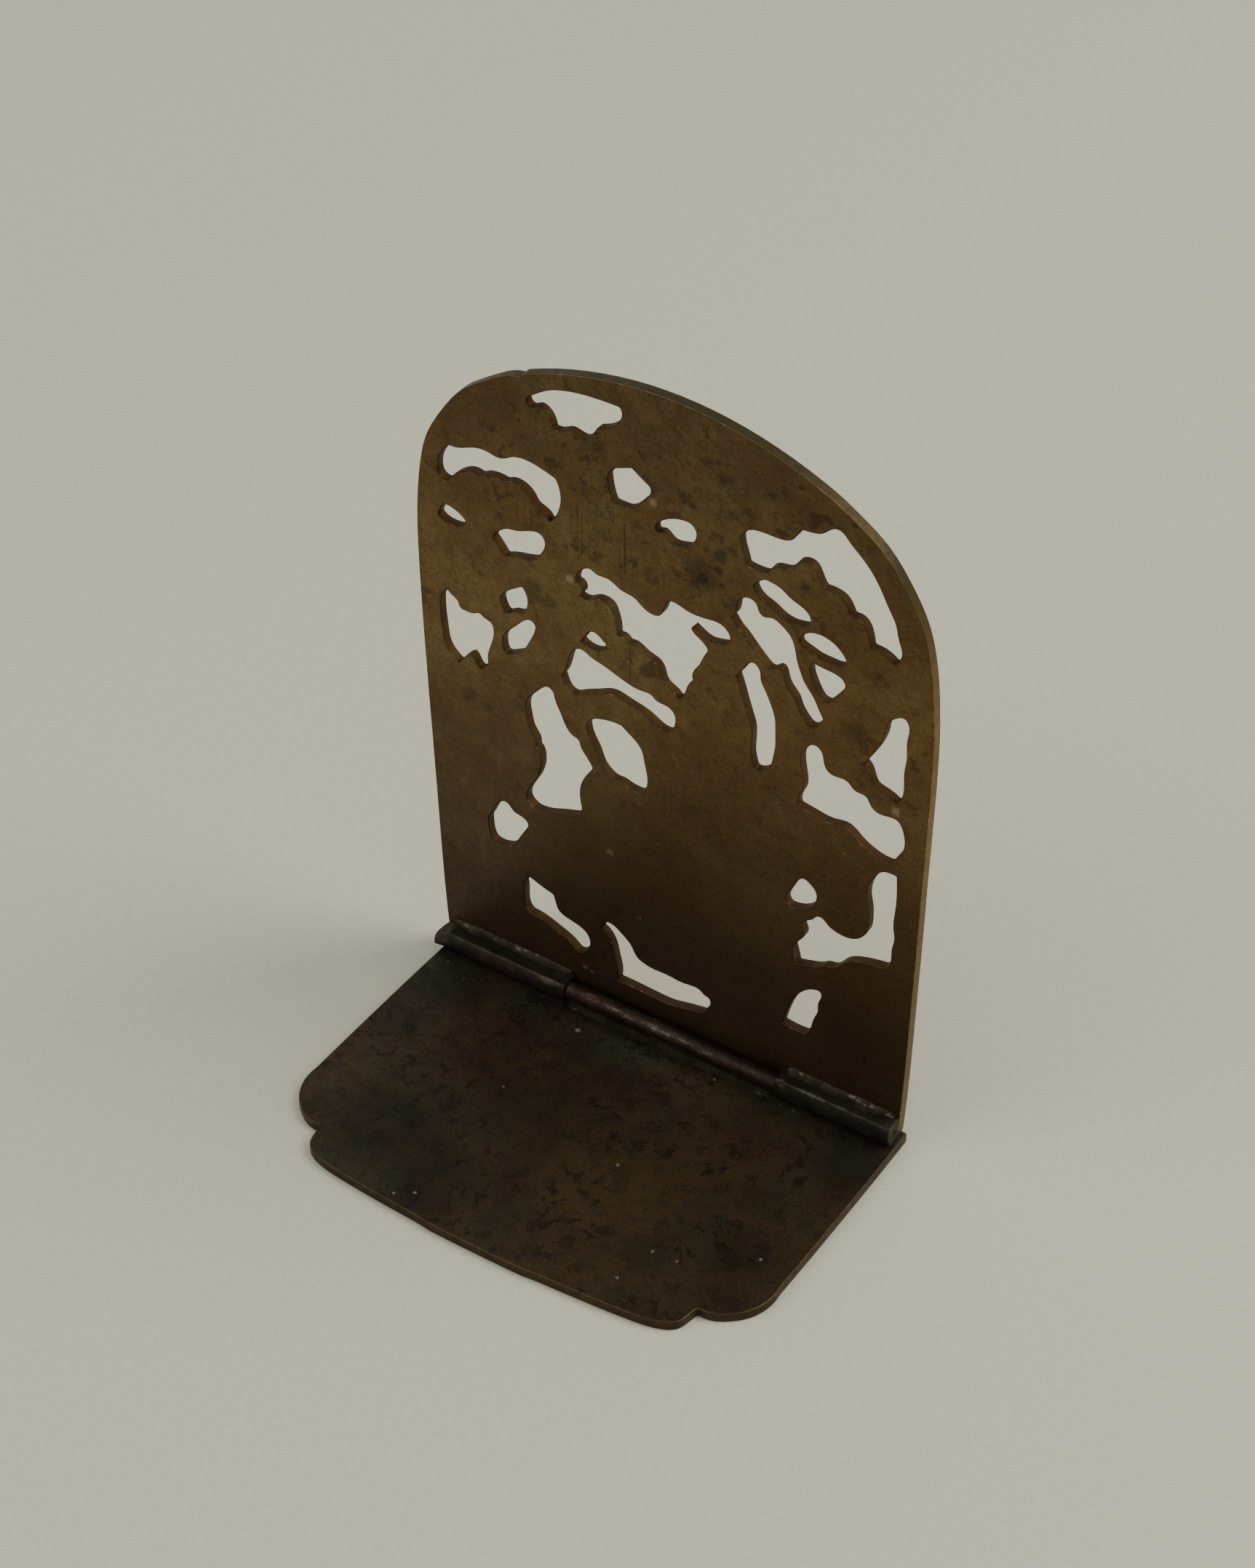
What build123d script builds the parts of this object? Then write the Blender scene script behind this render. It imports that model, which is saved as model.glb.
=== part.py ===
"""Folding pierced-brass stand for a photo album: a base plate and a hinged, pierced upright.

Millimetres, +Z up. The origin is under the middle of the upright's width and of the base's depth,
on the surface that the stand rests on. The upright's front faces -Y.
"""
from build123d import *
import os

# Driving dimensions
PLATE = 2.0              # thickness of both plates
BACK_Y = 31.6            # back face of the upright and back edge of the base
FRONT_Y = BACK_Y - PLATE # front face of the upright
BASE_SHIFT_X = 0.8       # the base sits this far off the upright's centre line
FOOT_GAP = 0.3           # daylight between the upright's foot and the base

# Hinge
AXIS_Y = FRONT_Y - 2.0   # centre line of the hinge pin
AXIS_Z = PLATE + 2.45
PIN_R = 0.8
PIN_PLAY = 0.04          # radial play of the side knuckles on the pin
BARREL_R = 1.7           # rolled centre knuckle
SEAM = 0.15              # half of the gap between two knuckles
HINGE_LEFT_X = -48.4
HINGE_RIGHT_X = 47.6
LEFT_SEAM_X = -19.8
RIGHT_SEAM_X = 24.4

FOOT_FRONT = -0.9        # front of the centre knuckle's foot, from the pin's centre line

# The side knuckles' corners, as (y, height) from the pin's centre line; all clear the base as they turn.
LEFT_CORNERS = {"top": 2.15, "ridge": (-1.6, 1.95), "belly": (-2.05, 0.1), "toe": (-1.72, -1.6),
                "sole": (-1.2, -2.02), "heel": (-0.5, -2.28)}
RIGHT_CORNERS = {"top": 2.45, "ridge": (-1.35, 2.4), "belly": (-1.75, 0.3), "toe": (-1.2, -1.75),
                 "sole": (-0.75, -2.02), "heel": (-0.2, -2.1)}

# Solder
UPRIGHT_BEAD_RISE = 0.8  # how far a bead climbs the upright
UPRIGHT_BEAD_RUN = 1.6   # and how far it spreads over a side knuckle's top
BASE_BEAD_RISE = 0.55    # how far the centre bead climbs the foot
BASE_BEAD_RUN = 1.5      # and how far it spreads over the base


def corner(x, height):
    """A point where an outline turns sharply."""
    return (x, height, True)


# The upright's edge, as (x, height above the base). Only the left shoulder has a nick beside the crown.
CROWN_END = (28.0, 132.65)
CROWN_TOP = (0, 138.67)
RIGHT_START = [CROWN_END, (31.3, 131.05)]
LEFT_NICK = [(-29.4, 131.85), (-28.2, 132.05)]
SHOULDER = [(34.6, 129.05), (40.1, 124.95), (44.7, 118.9), (47.95, 112.7), (49.6, 105.9), (50.46, 98.2),
            (50.78, 85.4), (50.49, 74.5), (49.84, 55.5), (49.15, 35.7), (48.73, 23.4), (48.03, 7.8),
            (47.5, FOOT_GAP)]

# The base's right edge, as (x from its own centre, y from the upright's front face), from the back.
SIDE_BACK = (47.6, PLATE)
SIDE_MIDDLE = (48.15, -20)
SIDE_FRONT = (48.35, -41)
CORNER_LOBE = [SIDE_FRONT, (47.5, -47), (46.2, -49), (44.7, -50.4), (43, -51.6), (41, -52.3), (39.2, -52.2)]
FRONT_LOBE = [(39.2, -52.2), (39.0, -53.6), (38.2, -56.6), (37.2, -57.6), (35.6, -58.4), (33, -59.1),
              (29, -59.6), (22, -60.2), (12, -60.8), (0, -61.2)]

# The upright's piercings, as closed loops of (x, height above the base), seen from the front.
PIERCINGS = {
    "crown_leaf": [
        (-27.4, 127.1), (-25.7, 129.5), (-22.8, 131.4), (-20, 132.4), (-15, 133.2), corner(-9.2, 133.35),
        (-8.8, 132.1), corner(-9.1, 131.0), (-10.7, 129.0), corner(-13.7, 127.4), (-15.4, 124.9),
        (-16.2, 124.3), (-19.3, 124.7), (-20.6, 124.1), corner(-22.4, 123.7), (-22.6, 124.7),
        (-24.5, 127.0), (-25.3, 127.1), (-26.9, 126.5)],
    "upper_left_band": [
        corner(-43.3, 112.4), (-41, 112.7), (-38, 113.9), (-35.2, 114.0), (-33.8, 113.7), (-32.2, 114.0),
        (-30.5, 115.0), (-28, 115.5), (-25, 115.05), corner(-22, 114.1), (-21.1, 111.5), (-21.6, 107.5),
        corner(-23.5, 104.5), (-25.2, 106.1), (-26.4, 106.7), (-27.1, 107.8), (-30, 109.65),
        corner(-32.4, 109.05), (-34, 109.3), (-35.8, 109.1), corner(-37.4, 108.3), (-38.8, 108.6),
        (-40.5, 108.1), corner(-44.2, 104.6), (-45.7, 105.3), (-46, 107), (-45.1, 110)],
    "pentagon": [
        corner(-7, 122.25), (-5, 120.8), corner(-3.6, 119.9), (-3.4, 118.8), (-4.6, 116.9), (-6.2, 114.9),
        (-8, 113.6), (-9.3, 113.5), corner(-10.8, 113.6), (-11.4, 115.5), corner(-11.8, 118.6),
        corner(-10.4, 120.8), (-9, 121.4)],
    "centre_leaf": [
        (-1.1, 114.1), (1, 115.3), (2.9, 115.75), (4.6, 115.5), (5.4, 114), (5.2, 112.9), (3.7, 110.7),
        (2.5, 110.3), (0.5, 110.15), (-1.0, 111.3), corner(-2.4, 111.1), (-2.6, 111.9)],
    "crescent": [
        corner(13.7, 116.7), corner(15.0, 118.8), (17, 119.55), (21, 119.65), (23.4, 120.4), (24.1, 121.3),
        corner(25.3, 123.2), (26.5, 123.3), (29, 124.0), (30.8, 125.6), (31.7, 125.95), (33.1, 125.3),
        (33.6, 124.7), (36, 122.4), (39.2, 118.5), (41.5, 114.2), (42.8, 111.7), (43.4, 109), (44.1, 106),
        (43.8, 105), corner(42.7, 103.35), (41.3, 104.3), corner(38.4, 104.8), (37.9, 107.2), (37.1, 108.9),
        corner(34.6, 109.7), (34.1, 110.9), (32.9, 112.4), (31.5, 112.95), corner(29.4, 113.0),
        (28.4, 114.7), (27, 116.7), (26.2, 116.9), corner(24.3, 116.1), (23.6, 114.9), (22.5, 114.0),
        (21, 113.7), corner(19.0, 111.7), (17, 111.4), corner(14.9, 111.6), (14.5, 113), (13.8, 115.5)],
    "thin_lens": [
        (16.4, 107.8), (17.9, 110.0), (18.4, 110.35), (19.6, 110.4), (21.6, 109.9), (23.3, 108.8),
        (25, 108.1), (26.8, 107.0), (27.2, 106.2), corner(26, 104.0), (24.8, 103.75), (23.7, 103.6),
        (21, 104.4), (19.5, 105.3), (17.9, 105.9), (16.8, 106.9)],
    "left_leaf": [
        corner(-45.1, 99.6), (-43.3, 99.45), (-42, 98.95), corner(-40.5, 97.8), (-42.1, 95.8),
        (-43.6, 95.6), (-45, 95.8), corner(-46.3, 96.7)],
    "left_kite": [
        corner(-35.1, 96.4), (-33.3, 98.8), (-32, 99.6), (-30, 100), (-27.8, 100.9), (-25, 101.15),
        (-24.5, 100.4), (-25, 97.7), corner(-26.6, 95.4), (-28.5, 94.75), (-29.6, 94.5),
        corner(-32.8, 93.4), (-33.7, 94.7)],
    "left_bud": [
        (-33.9, 83.8), (-32.1, 86.5), (-30.2, 87.9), corner(-29.3, 88.5), (-28.5, 87.2), (-28.3, 85),
        (-30, 82.4), (-31.9, 81.8), (-32.8, 81.25), (-33.6, 82.4)],
    "left_slanted_leaf": [
        (-33.7, 75.2), (-30.3, 80), (-28.6, 81.7), (-27.9, 82), corner(-26.7, 81.2), (-27.2, 79.2),
        (-28, 77.5), (-30.4, 73.7), (-32, 72.8), (-33.2, 72.35), (-33.7, 73.7)],
    "left_petal": [
        corner(-46.6, 79.1), corner(-44.9, 81.2), (-44.2, 80.5), (-42.9, 79.6), (-42.4, 78.4),
        (-41.2, 78.15), (-39.4, 78.4), (-38.5, 78.85), (-37.5, 78.35), (-36, 77.8), (-35.6, 76.8),
        (-36.2, 73), corner(-36.8, 68.8), corner(-38.4, 66.6), (-39.8, 68.2), (-40.4, 68.85),
        (-41.2, 68.5), corner(-43.2, 65.9), (-44.3, 66.7), (-45.7, 68.5), (-46.2, 71), (-46.6, 75)],
    "branch": [
        (-16.5, 97.8), (-15.3, 98.2), (-14.4, 97.75), (-11.7, 97.6), (-9.2, 96.4), (-6.4, 95.8),
        (-5.4, 95.0), (-3.2, 94.0), (-1.7, 94.3), (-0.9, 95.8), corner(0.5, 98.3), (2, 98.2),
        (3.4, 97.75), (8, 97.7), (10.3, 97.7), (11.6, 96.8), corner(12.1, 95.8), (10.7, 93.6),
        (9.5, 93.3), (8, 93.05), (6.5, 93.5), corner(4.5, 94.6), (5.5, 93.4), (6.9, 92.4), (7.75, 91.3),
        (7.2, 90), (6.2, 87.6), (4.9, 85.3), corner(5, 83.6), (3.9, 82), (3.5, 80.7), corner(1.8, 78.15),
        (1, 79), (-0.6, 79.9), (-1.1, 80.6), (-1.5, 82.2), (-2.6, 83.7), (-4.8, 84.5), (-6.5, 85.5),
        corner(-8.2, 85.5), (-9.3, 86.4), corner(-10.1, 86.3), (-10.2, 88.3), (-10.7, 90.2),
        (-11.6, 91.9), (-13.1, 92.45), (-14.7, 92.2), (-15.8, 91.5), corner(-17.8, 91.6), (-17.1, 93.4),
        (-17.9, 94.2), corner(-18.4, 94.2), (-18.1, 95.6)],
    "seed": [
        corner(-17.6, 82), (-16, 84.4), (-15.5, 84.95), (-13.9, 84.9), (-13.2, 84.3), corner(-12.3, 83.7),
        (-13.6, 81.6), (-15.0, 81.1), (-16.4, 81.3)],
    "wedge": [
        corner(-21.6, 72.6), (-20.5, 75), (-19.9, 77.4), corner(-18.2, 80.1), (-16.8, 80.2),
        (-15.8, 79.65), (-13, 78.8), (-10.6, 77.95), (-8.5, 77.2), (-5, 76.7), (-3.3, 76.65),
        (-2.6, 76.05), (0, 75.6), (1.1, 74.8), (1.45, 73.3), (1.3, 72.2), corner(-0.1, 69.9), (-1, 69.8),
        (-4.2, 71.3), (-6.5, 72.05), (-8.8, 72.6), (-10.5, 73.05), (-12, 73.05), (-15, 71.7),
        (-18, 70.2), (-19.5, 69.55), (-20.6, 70.2), (-21.2, 71.4)],
    "pin_leaf": [
        (-28.8, 64.2), (-27.1, 66.5), (-25.2, 68.6), (-24.6, 68.95), (-23.6, 68.6), (-23.1, 67.1),
        (-22, 64.5), (-21.1, 62.3), (-19.2, 60.35), (-18.3, 60.0), (-18, 59.1), (-16.6, 56.9),
        corner(-15.4, 55), (-16.6, 53.1), (-17.5, 51.4), (-18.2, 48.5), (-18.1, 46.5),
        corner(-17.8, 44.8), (-19.3, 42.4), (-21.5, 41.6), (-26.5, 39.85), (-28.2, 40.0), (-29.4, 41.3),
        (-29.2, 43.3), (-27.2, 47.2), (-26.5, 49.2), (-26.2, 51.8), (-26.5, 53.4), corner(-27.2, 54.3),
        (-27.3, 55.8), (-28.4, 57.5), (-29, 60), (-29.3, 62)],
    "heart_leaf": [
        corner(-16.6, 63.7), (-15.1, 66.1), (-13, 66.9), (-11.3, 67.2), corner(-9.4, 67.2), (-8, 66.1),
        (-6.4, 64.9), (-5.3, 63.2), (-4.9, 61.3), (-4.3, 58), (-4.3, 56.7), corner(-6.1, 53.6),
        (-7, 53.6), (-8.5, 53.85), (-9.7, 54.25), (-11.3, 54.3), (-12.7, 55.1), (-13.7, 56.2),
        (-14.9, 59.2), (-15.6, 60.4), (-16.4, 62.4)],
    "long_strap": [
        corner(12.2, 100), (13.2, 102.1), (13.3, 103), corner(14.7, 105.1), (15.5, 105.4), (16.8, 105),
        (17.6, 103.3), (18.4, 102.8), (20, 103.2), (21.5, 102.7), (23.4, 101.2), (24.5, 98.5),
        (24.8, 96.8), (25.5, 94.7), (26.2, 93), (28.3, 90.1), (28.9, 88.9), corner(30.1, 86.7),
        (28.9, 84.7), (27.9, 83.9), (26.2, 85.2), (25.2, 86.8), (24.8, 88), (23.2, 90), (22.5, 91.8),
        (22, 93.1), (21.4, 93.4), (19.9, 92.4), (18.6, 93.1), (16, 95.8), corner(13.5, 98.2), (12.9, 99)],
    "right_lens": [
        (25.1, 100.3), (26.5, 102.9), (28.2, 103.65), (31.6, 103.1), (33.6, 101.3), (34.1, 100.1),
        (33.0, 98.8), (30.5, 98.6), (28.6, 98.75), (27.2, 99.2), (25.6, 99.8)],
    "small_triangle": [
        (27.3, 96.0), corner(27.9, 97.5), (30, 97.15), (32, 96.95), (33.4, 96.4), corner(34, 95),
        (32.3, 92.3), corner(30.8, 90.3), (29.8, 90.3), (28.8, 91.4), (28, 93), (27.4, 94.6)],
    "upright_strap": [
        corner(13.3, 88.3), (15.4, 91.4), (16.7, 92.5), (17.9, 91.2), (18, 89.9), (18.9, 87.8),
        (20.2, 85), (20.9, 82.8), (21.05, 80), (21.1, 77), (20.7, 74.2), (20.4, 72.7), (19.1, 70.7),
        (18.1, 70), (17.2, 69.8), (16.7, 70.8), (16.4, 72.5), (16.4, 78.5), (15.9, 80.2), (14.7, 84),
        (13.9, 86.6)],
    "right_fin": [
        corner(37.9, 80.6), (39.5, 83.3), (41.2, 87), corner(41.8, 90.2), (43.1, 92.4), (44.2, 93.2),
        (45.1, 93.45), (45.8, 92.7), (45.75, 89), (45.85, 85.5), (45.5, 82.5), (45.4, 77.4),
        corner(44.1, 75), (42.7, 75.8), (41.4, 76.2), (40.2, 76.6), (39.2, 78.7)],
    "lower_right_band": [
        corner(26.3, 77.8), corner(27.7, 80), (29.2, 80.4), (30, 79.6), (30.7, 76.8), (31.5, 75.9),
        (33, 75.65), (35, 75.6), (36.5, 74.3), (38.6, 74), (39.5, 72.5), (41, 71.5), (44.8, 71.5),
        (45.4, 70.7), corner(45, 64.1), corner(43.6, 61.5), (42.3, 61.4), (40, 61.95), (37.5, 63.3),
        (35.8, 64.7), (34.4, 65.25), (32, 64.9), (28.5, 65.2), corner(25.6, 65.7), (26, 68.4),
        (26.4, 69.3), (26.4, 73)],
    "crook": [
        (39.4, 51.7), (39.8, 55), (41.2, 58), (42.2, 59.2), (43.6, 59.65), corner(45, 59.6),
        (45.1, 56.5), (45.0, 52.5), (44.75, 47.5), (45, 45.6), (44.6, 43), (44.5, 40.2),
        corner(43.2, 37.9), (40.5, 37.4), (37.5, 36.5), (35.5, 35.3), (33, 32.8), (31.9, 32.6),
        (30.8, 31.9), (28, 30.8), corner(26.1, 30.2), (25.7, 32), corner(25.2, 33.6), corner(26.6, 36),
        (27.4, 37.5), corner(27.0, 38.8), (28.4, 41.5), (29.1, 42.0), (30, 43.1), (30.9, 43.2),
        (32, 42.3), (34, 41.4), (36.3, 41.3), (38.2, 42.2), (39.5, 43.9), (39.9, 46.5), (39.8, 49.3)],
    "upper_thumb": [
        (23.7, 43.2), (24.5, 46.3), (26.3, 49.7), (27.1, 50.25), (28.4, 49.7), (29.5, 48.5),
        (29.7, 47.1), (28.3, 44.3), (27, 43.3), corner(24.2, 42.6)],
    "lower_thumb": [
        corner(23.5, 14.8), (24.3, 17.8), (25.1, 20.2), (27.6, 24.6), (28.9, 25.7), (30, 26.2),
        (31.1, 26.2), (31.3, 25.6), (30.7, 23.3), (30.7, 21.7), (29.9, 19.3), (29.4, 17),
        corner(28, 14.6), (26, 14.5)],
    "teardrop": [
        (-37.7, 33.5), (-36.7, 35.6), (-35.1, 38.1), (-34.3, 38.55), (-33.4, 38.2), (-32.5, 37.15),
        (-30.3, 36.5), (-29.4, 35.5), (-29.8, 34.3), (-31.2, 31.8), (-33.4, 28.5), (-35.8, 27.7),
        (-37, 27.9), (-37.9, 29.9), (-38, 31)],
    "low_left_bend": [
        corner(-30.9, 20.8), corner(-29.3, 23.1), (-26.8, 22.1), corner(-24.4, 21.4), (-23.9, 19.8),
        (-23.2, 18.1), (-21.5, 17.2), (-19, 16.6), (-17.3, 15.6), (-16.6, 13.6), (-18.4, 10.4),
        (-19.2, 10), (-20.4, 10.8), (-23, 12.3), (-25.5, 13.3), (-27.5, 13.95), corner(-29.7, 14.2),
        (-30.5, 15.4), (-30.7, 18)],
    "boot": [
        corner(-14.4, 18), corner(-13, 20.4), (-12.2, 20.5), (-9.8, 19.2), (-7.8, 17.3), (-6.5, 15.1),
        (-5.3, 14.5), (-3.5, 14.1), (0, 14.15), (3, 13.9), (6.9, 13.8), (7.5, 13.3), (8.5, 13.0),
        (8.8, 12.2), (8.4, 10.8), corner(7.1, 8.6), (5.5, 8.3), (3.5, 7.9), (0.3, 7.15), (-3, 7.1),
        (-8, 7.35), corner(-10.9, 7.35), (-10.75, 9.6), (-11.3, 12.3), (-11.9, 15), (-12.9, 16.9)],
}


def curve(points):
    """A straight edge through two points, or a smooth one through more."""
    if len(points) == 2:
        return Line(*points)
    return Spline(*points)


def closed_outline(points):
    """The edges of a closed loop, smooth except at its corners."""
    flat = [point[:2] for point in points]
    corners = [index for index, point in enumerate(points) if len(point) == 3]
    if not corners:
        return [Spline(*flat, periodic=True)]
    edges = []
    for number, start in enumerate(corners):
        end = corners[(number + 1) % len(corners)]
        stretch = flat[start:end + 1] if end > start else flat[start:] + flat[:end + 1]
        edges.append(curve(stretch))
    return edges


def mirrored(points):
    """The same points on the left, in the opposite order."""
    return [(-x, y) for x, y in reversed(points)]


def upright_panel():
    crown = ThreePointArc((-CROWN_END[0], CROWN_END[1]), CROWN_TOP, CROWN_END)
    right_edge = Spline(*RIGHT_START, *SHOULDER)
    foot = Line(SHOULDER[-1], mirrored(SHOULDER)[0])
    left_edge = Spline(*mirrored(SHOULDER), *LEFT_NICK)
    nick = Line(LEFT_NICK[-1], (-CROWN_END[0], CROWN_END[1]))
    outline = make_face([crown, right_edge, foot, left_edge, nick])
    standing = Plane(origin=(0, BACK_Y, PLATE), x_dir=(1, 0, 0), z_dir=(0, -1, 0))
    panel = extrude(standing * outline, amount=PLATE)
    for loop in PIERCINGS.values():
        window = make_face(closed_outline(loop))
        panel -= extrude(standing * window, amount=PLATE)
    return panel


def base_plate():
    right_side = ThreePointArc(SIDE_BACK, SIDE_MIDDLE, SIDE_FRONT)
    right_corner = Spline(*CORNER_LOBE)
    right_front = Spline(*FRONT_LOBE, tangents=[(0, -1), (-1, 0)])
    right_half = [right_side, right_corner, right_front]
    left_half = [edge.mirror(Plane.YZ) for edge in right_half]
    back = Line(SIDE_BACK, (-SIDE_BACK[0], SIDE_BACK[1]))
    outline = make_face(right_half + left_half + [back])
    return Pos(BASE_SHIFT_X, FRONT_Y, 0) * extrude(outline, amount=PLATE)


def along_hinge(section, start_x, end_x):
    """A prism along the hinge, from a section drawn in (y from the axis, height from the axis)."""
    plane = Plane(origin=(start_x, AXIS_Y, AXIS_Z), x_dir=(0, 1, 0), z_dir=(1, 0, 0))
    return extrude(plane * section, amount=end_x - start_x)


def side_knuckle(start_x, end_x, corners):
    """A faceted knuckle: flat top with a ridge, bellied front, tucked under, and flat on the upright."""
    face = FRONT_Y - AXIS_Y
    top = (face, corners["top"])
    foot = (face, corners["heel"][1])
    edges = [
        Line(top, corners["ridge"]),
        ThreePointArc(corners["ridge"], corners["belly"], corners["toe"]),
        ThreePointArc(corners["toe"], corners["sole"], corners["heel"]),
        Line(corners["heel"], foot),
        Line(foot, top),
    ]
    section = make_face(edges) - Circle(PIN_R + PIN_PLAY)
    return along_hinge(section, start_x, end_x)


def centre_knuckle(start_x, end_x):
    """A rolled barrel on a narrower foot that stands on the base."""
    foot_bottom = PLATE - AXIS_Z
    foot_back = BARREL_R - 0.2
    foot = Pos((FOOT_FRONT + foot_back) / 2, foot_bottom / 2) * Rectangle(
        foot_back - FOOT_FRONT, -foot_bottom)
    section = Circle(BARREL_R) + foot - Circle(PIN_R)
    return along_hinge(section, start_x, end_x)


def upright_bead(start_x, end_x, corners):
    """A solder fillet in the angle between a side knuckle's top and the upright."""
    face = FRONT_Y - AXIS_Y
    top = corners["top"]
    ridge = corners["ridge"]
    fall = (top - ridge[1]) / (face - ridge[0]) * UPRIGHT_BEAD_RUN
    start = (face, top + UPRIGHT_BEAD_RISE)
    end = (face - UPRIGHT_BEAD_RUN, top - fall)
    middle = (face - 0.4 * UPRIGHT_BEAD_RUN, top + 0.36 * UPRIGHT_BEAD_RISE)
    section = make_face([Line((face, top), start), ThreePointArc(start, middle, end), Line(end, (face, top))])
    return along_hinge(section, start_x, end_x)


def base_bead(start_x, end_x):
    """A solder fillet in the angle between the centre knuckle's foot and the base."""
    floor = PLATE - AXIS_Z
    start = (FOOT_FRONT, floor + BASE_BEAD_RISE)
    end = (FOOT_FRONT - BASE_BEAD_RUN, floor)
    middle = (FOOT_FRONT - 0.55 * BASE_BEAD_RUN, floor + 0.36 * BASE_BEAD_RISE)
    section = make_face([Line((FOOT_FRONT, floor), start), ThreePointArc(start, middle, end),
                         Line(end, (FOOT_FRONT, floor))])
    return along_hinge(section, start_x, end_x)


def hinge_pin():
    return along_hinge(Circle(PIN_R), HINGE_LEFT_X, HINGE_RIGHT_X)


NODES = {
    "base_plate": base_plate(),
    "upright_panel": upright_panel(),
    "left_knuckle": side_knuckle(HINGE_LEFT_X, LEFT_SEAM_X - SEAM, LEFT_CORNERS),
    "centre_knuckle": centre_knuckle(LEFT_SEAM_X + SEAM, RIGHT_SEAM_X - SEAM),
    "right_knuckle": side_knuckle(RIGHT_SEAM_X + SEAM, HINGE_RIGHT_X, RIGHT_CORNERS),
    "hinge_pin": hinge_pin(),
    "left_solder_bead": upright_bead(HINGE_LEFT_X + 1.8, LEFT_SEAM_X - 0.8, LEFT_CORNERS),
    "centre_solder_bead": base_bead(LEFT_SEAM_X + 0.6, RIGHT_SEAM_X - 0.6),
    "right_solder_bead": upright_bead(RIGHT_SEAM_X + 0.8, HINGE_RIGHT_X - 0.6, RIGHT_CORNERS),
}

os.makedirs("parts", exist_ok=True)
for name, solid in NODES.items():
    export_step(solid, f"parts/{name}.step")
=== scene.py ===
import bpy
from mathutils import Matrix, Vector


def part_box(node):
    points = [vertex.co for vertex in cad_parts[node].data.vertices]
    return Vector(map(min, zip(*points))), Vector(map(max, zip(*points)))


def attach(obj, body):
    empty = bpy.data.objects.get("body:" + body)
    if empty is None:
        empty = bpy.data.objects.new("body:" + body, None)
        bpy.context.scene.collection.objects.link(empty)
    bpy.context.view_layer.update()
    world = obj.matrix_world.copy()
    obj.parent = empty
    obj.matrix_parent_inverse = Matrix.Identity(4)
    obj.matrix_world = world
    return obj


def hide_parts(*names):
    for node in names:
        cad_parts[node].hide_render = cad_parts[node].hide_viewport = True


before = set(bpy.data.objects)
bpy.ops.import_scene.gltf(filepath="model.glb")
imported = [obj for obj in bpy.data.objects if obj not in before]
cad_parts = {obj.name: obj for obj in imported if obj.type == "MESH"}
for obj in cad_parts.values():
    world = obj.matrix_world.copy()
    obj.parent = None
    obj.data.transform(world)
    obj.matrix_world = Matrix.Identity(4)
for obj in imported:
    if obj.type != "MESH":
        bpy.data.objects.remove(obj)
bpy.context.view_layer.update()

import math

import bpy
import numpy as np
from mathutils import Matrix, Vector
from mathutils.geometry import delaunay_2d_cdt

# The folding brass stand: two sawn plates and a soldered hinge, each made from its CAD node's outline.
# Lengths are millimetres until mesh_piece(), the light and the camera turn them into metres.

MM = 0.001
X, Y, Z = range(3)
IMAGE_HEIGHT = 2156

PANEL_LOW, PANEL_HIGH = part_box("upright_panel")
BASE_LOW, BASE_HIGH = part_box("base_plate")
FRONT = PANEL_LOW.y / MM          # the upright's front face
BASE_TOP = BASE_HIGH.z / MM
PIN_LOW, PIN_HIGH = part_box("hinge_pin")
AXIS_Y = (PIN_LOW.y + PIN_HIGH.y) / 2 / MM
AXIS_Z = (PIN_LOW.z + PIN_HIGH.z) / 2 / MM

# How finely each kind of piece is meshed: its edge radius, then the spacing of points along its outline,
# of rings down its walls and of points over its flat faces, and how often the outline's corners are eased.
PANEL_MESH = {"radius": 0.18, "step": 0.26, "rows": 0.5, "spacing": 2.2, "passes": 1}
BASE_MESH = {"radius": 0.28, "step": 0.34, "rows": 0.5, "spacing": 2.0}
KNUCKLE_MESH = {"radius": 0.22, "step": 0.16, "rows": 0.45, "spacing": 0.7}
BARREL_MESH = {**KNUCKLE_MESH, "radius": 0.12}
PIN_MESH = {"radius": 0.3, "step": 0.16, "rows": 2.0, "spacing": 0.5}
BEAD_MESH = {"radius": 0.1, "step": 0.09, "rows": 0.3, "spacing": 0.3}

CHUNK = 500             # points compared at a time, to keep the arrays small
THIN_METAL = 0.3        # an edge's radius is at most this share of the metal's width there
ROW_HEIGHT = 0.866      # rows of the face points, as a share of their spacing
JITTER = 0.15           # how far a face point strays, as a share of the spacing
CLEAR_OF_EDGE = 0.45    # face points stay this share of the spacing away from the outline


# ---------------------------------------------------------------- outlines read from the CAD nodes

def across(axis):
    """The two axes square to this one."""
    return [a for a in (X, Y, Z) if a != axis]


def face_loops(node, axis, level):
    """Closed loops round a CAD node's flat face at level (mm) on axis, along its outward winding."""
    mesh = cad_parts[node].data
    per_mm, per_metre, close = 1000, 1e6, 5     # microns
    microns = np.array([v.co for v in mesh.vertices]).reshape(-1, 3) * per_metre
    keys = [tuple(p) for p in np.rint(microns).astype(int)]
    edges = set()
    for polygon in mesh.polygons:
        ring = [keys[i] for i in polygon.vertices]
        if all(abs(p[axis] - level * per_mm) < close for p in ring):
            edges.update(zip(ring, ring[1:] + ring[:1]))
    following = {a: b for a, b in edges if (b, a) not in edges}
    loops = []
    while following:
        start = min(following)
        point = following.pop(start)
        loop = [start]
        while point != start:
            loop.append(point)
            point = following.pop(point)
        loops.append(np.array(loop, float)[:, across(axis)] / per_mm)
    return loops


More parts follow.
